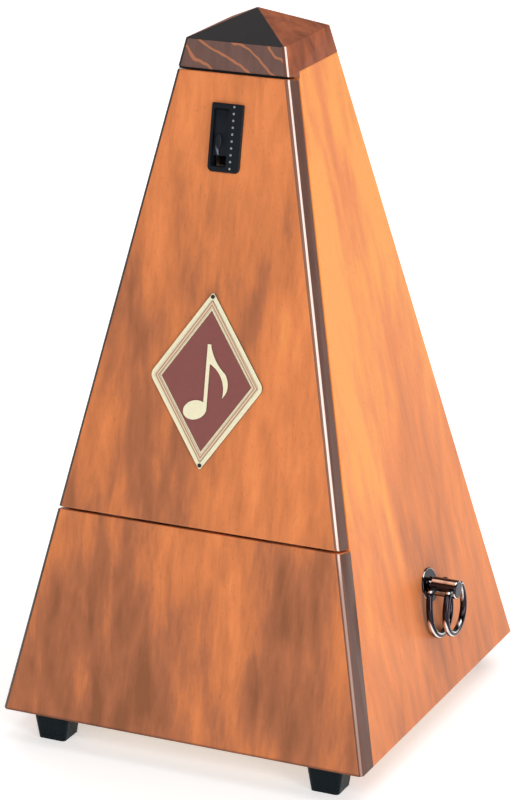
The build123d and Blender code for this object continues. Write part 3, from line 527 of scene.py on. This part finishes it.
def slider_grip():
    """Slanted drop-shaped ridge on the slider, below its nub."""
    middle_x, middle_t = -2.7 * MM, slope_of("catch_housing") - 3.7 * MM
    front = -0.15 * MM
    length, half_width, height, least_height = 3.7 * MM, 0.5 * MM, 0.42 * MM, 0.05 * MM
    lean = math.radians(14)
    steps = 14
    profile = ((-1, -0.1), (-0.6, 0.75), (0, 1), (0.6, 0.75), (1, -0.1))    # (across, out)

    def cross_section(along):
        """Corner points of the ridge's section; along runs from 0 at its top to 1 at its bottom."""
        width = half_width * math.sin(math.pi * min(1.0, along * 0.86 + 0.07)) ** 0.7
        rise = height * math.sin(math.pi * along) ** 0.6 if 0 < along < 1 else 0.0
        x = middle_x + (along - 0.5) * length * math.sin(lean)
        t = middle_t + (0.5 - along) * length * math.cos(lean)
        return [front_point(x + u * width, t, front + v * max(rise, least_height)) for u, v in profile]

    def build(shape):
        rows = [
            [shape.verts.new(point) for point in cross_section(step / steps)]
            for step in range(steps + 1)
        ]
        last = len(profile) - 1
        for first, second in zip(rows, rows[1:]):
            for k in range(last):
                shape.faces.new((first[k], second[k], second[k + 1], first[k + 1]))
            shape.faces.new((first[last], second[last], second[0], first[0]))
        shape.faces.new(rows[0][::-1])
        shape.faces.new(rows[-1])
        bmesh.ops.recalc_face_normals(shape, faces=shape.faces[:])

    piece = mesh_piece("slider_grip", "catch", MATERIALS["grip"], build)
    piece.data.shade_smooth()


def crown_felt():
    """Thin dark strip under the crown's front lip, where the cover closes: painted shade standing in for
    the shadow in that gap.
    """
    lip, thick, depth, middle_n, side_gap = 200.2 * MM, 0.5 * MM, 6.6 * MM, -3.5 * MM, 1.2 * MM
    half = HALF_BASE - SIN * lip - side_gap

    def build(shape):
        box_on_front(shape, (0, lip - thick / 2, middle_n), (2 * half, thick, depth))

    mesh_piece("crown_felt", "case", MATERIALS["felt"], build)


TEMPOS = (208, 184, 160, 138, 120, 104, 92, 80, 72, 66, 60, 54, 48, 44, 40)


def add_number(shape, number, place, size, thick):
    """Adds a raised number to a bmesh; place is the matrix of its middle."""
    words = bpy.data.curves.new("number", "FONT")
    words.body = str(number)
    words.size = size
    words.align_x, words.align_y = "CENTER", "CENTER"
    words.extrude = thick / 2
    holder = bpy.data.objects.new("number", words)
    flat = bpy.data.meshes.new_from_object(holder)
    flat.transform(place)
    shape.from_mesh(flat)
    bpy.data.objects.remove(holder)
    bpy.data.curves.remove(words)
    bpy.data.meshes.remove(flat)


def scale_marks():
    """Ticks and tempo numbers printed in two columns on the scale plate, fastest at the bottom."""
    low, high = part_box("scale_plate")
    width = high[0] - low[0]
    face, ink = -9.185 * MM, 0.03 * MM
    bottom, top = 76 * MM, 184 * MM
    tick_x, tick_w, tick_h = width * 0.16, width * 0.12, 0.3 * MM
    number_x, number_size = width * 0.35, 3.6 * MM

    def build(shape):
        for place, tempo in enumerate(TEMPOS):
            t = bottom + (top - bottom) * place / (len(TEMPOS) - 1)
            for side in (-1, 1):
                box_on_front(shape, (side * tick_x, t, face), (tick_w, tick_h, ink))
                add_number(shape, tempo, on_front(side * number_x, t, face), number_size, ink)

    mesh_piece("scale_marks", "case", MATERIALS["ink"], build)


finish_cad_nodes()
catch_dots()
catch_backing()
slider_grip()
crown_felt()
scale_marks()


# ---- stage ----------------------------------------------------------------------------------
FLOOR_HALF, FLOOR_CELLS, FLOOR_GLOW = 4.0, 8, 0.45
FLOOR_PALE, FLOOR_PALER = (0.93, 0.93, 0.925), (0.96, 0.96, 0.955)


def floor():
    """Plain pale floor, slightly lit from itself so that it stays near white."""
    s = Shader("floor")
    pale = s.mix(s.noise(s.mapped(), 3, 2.0), FLOOR_PALE, FLOOR_PALER)
    s.link(pale, s.bsdf.inputs["Emission Color"])
    s.bsdf.inputs["Emission Strength"].default_value = FLOOR_GLOW

    def build(shape):
        bmesh.ops.create_grid(shape, x_segments=FLOOR_CELLS, y_segments=FLOOR_CELLS, size=FLOOR_HALF)

    mesh_object("floor", s.finish(pale, 0.85, specular=0.1), build)


def softbox(name, place, size, power):
    """Rectangular soft light aimed at the middle of the case."""
    lamp = bpy.data.lights.new(name, "AREA")
    lamp.shape = "RECTANGLE"
    lamp.size, lamp.size_y = size
    lamp.energy = power
    holder = bpy.data.objects.new(name, lamp)
    bpy.context.scene.collection.objects.link(holder)
    holder.location = place
    aim = Vector((0, 0, 0.1))
    holder.rotation_euler = (aim - Vector(place)).to_track_quat("-Z", "Y").to_euler()


def sky(strength, low_stop, high_stop):
    """World light that fades upward between two stops, each (upward part of the direction, grey)."""
    world = bpy.data.worlds.new("studio")
    world.use_nodes = True
    bpy.context.scene.world = world
    tree = world.node_tree
    shade = tree.nodes["Background"]
    coords = tree.nodes.new("ShaderNodeTexCoord")
    split = tree.nodes.new("ShaderNodeSeparateXYZ")
    ramp = tree.nodes.new("ShaderNodeValToRGB")
    tree.links.new(coords.outputs["Generated"], split.inputs[0])
    tree.links.new(split.outputs["Z"], ramp.inputs[0])
    tree.links.new(ramp.outputs[0], shade.inputs["Color"])
    for element, (place, grey) in zip(ramp.color_ramp.elements, (low_stop, high_stop)):
        element.position = place
        element.color = (grey, grey, grey, 1)
    shade.inputs["Strength"].default_value = strength


def studio():
    """Soft light: a narrow strip at the right, a key in front, and fills from behind and above."""
    sky(0.40, (0.25, 1.0), (0.75, 0.12))
    softbox("right_strip", (1.15, -0.60, 0.32), (0.35, 0.6), 7)
    softbox("front_key", (0.35, -1.5, 1.15), (1.0, 0.8), 10)
    softbox("rear_fill", (-0.9, 1.2, 1.5), (1.2, 1.2), 10)
    softbox("top_fill", (0.5, 0.3, 1.9), (1.6, 1.6), 14)


CAMERA_PLACE = (0.4147, -0.8755, 0.4334)
CAMERA_RIGHT, CAMERA_BACK = (0.9047, 0.4260, -0.0085), (0.4052, -0.8539, 0.3265)
FOCAL_MM, SENSOR_MM = 151.2, 36.0


def camera():
    """Camera at the photograph's angle: from the front right, a little above."""
    right, back = Vector(CAMERA_RIGHT).normalized(), Vector(CAMERA_BACK).normalized()
    up = back.cross(right)
    lens = bpy.data.cameras.new("camera")
    lens.lens = FOCAL_MM
    lens.sensor_width = SENSOR_MM
    lens.sensor_fit = "AUTO"
    holder = bpy.data.objects.new("camera", lens)
    bpy.context.scene.collection.objects.link(holder)
    turn = Matrix((right, up, back)).transposed().to_4x4()
    holder.matrix_world = Matrix.Translation(CAMERA_PLACE) @ turn
    bpy.context.scene.camera = holder


floor()
studio()
camera()
bpy.context.scene.view_settings.view_transform = "Standard"
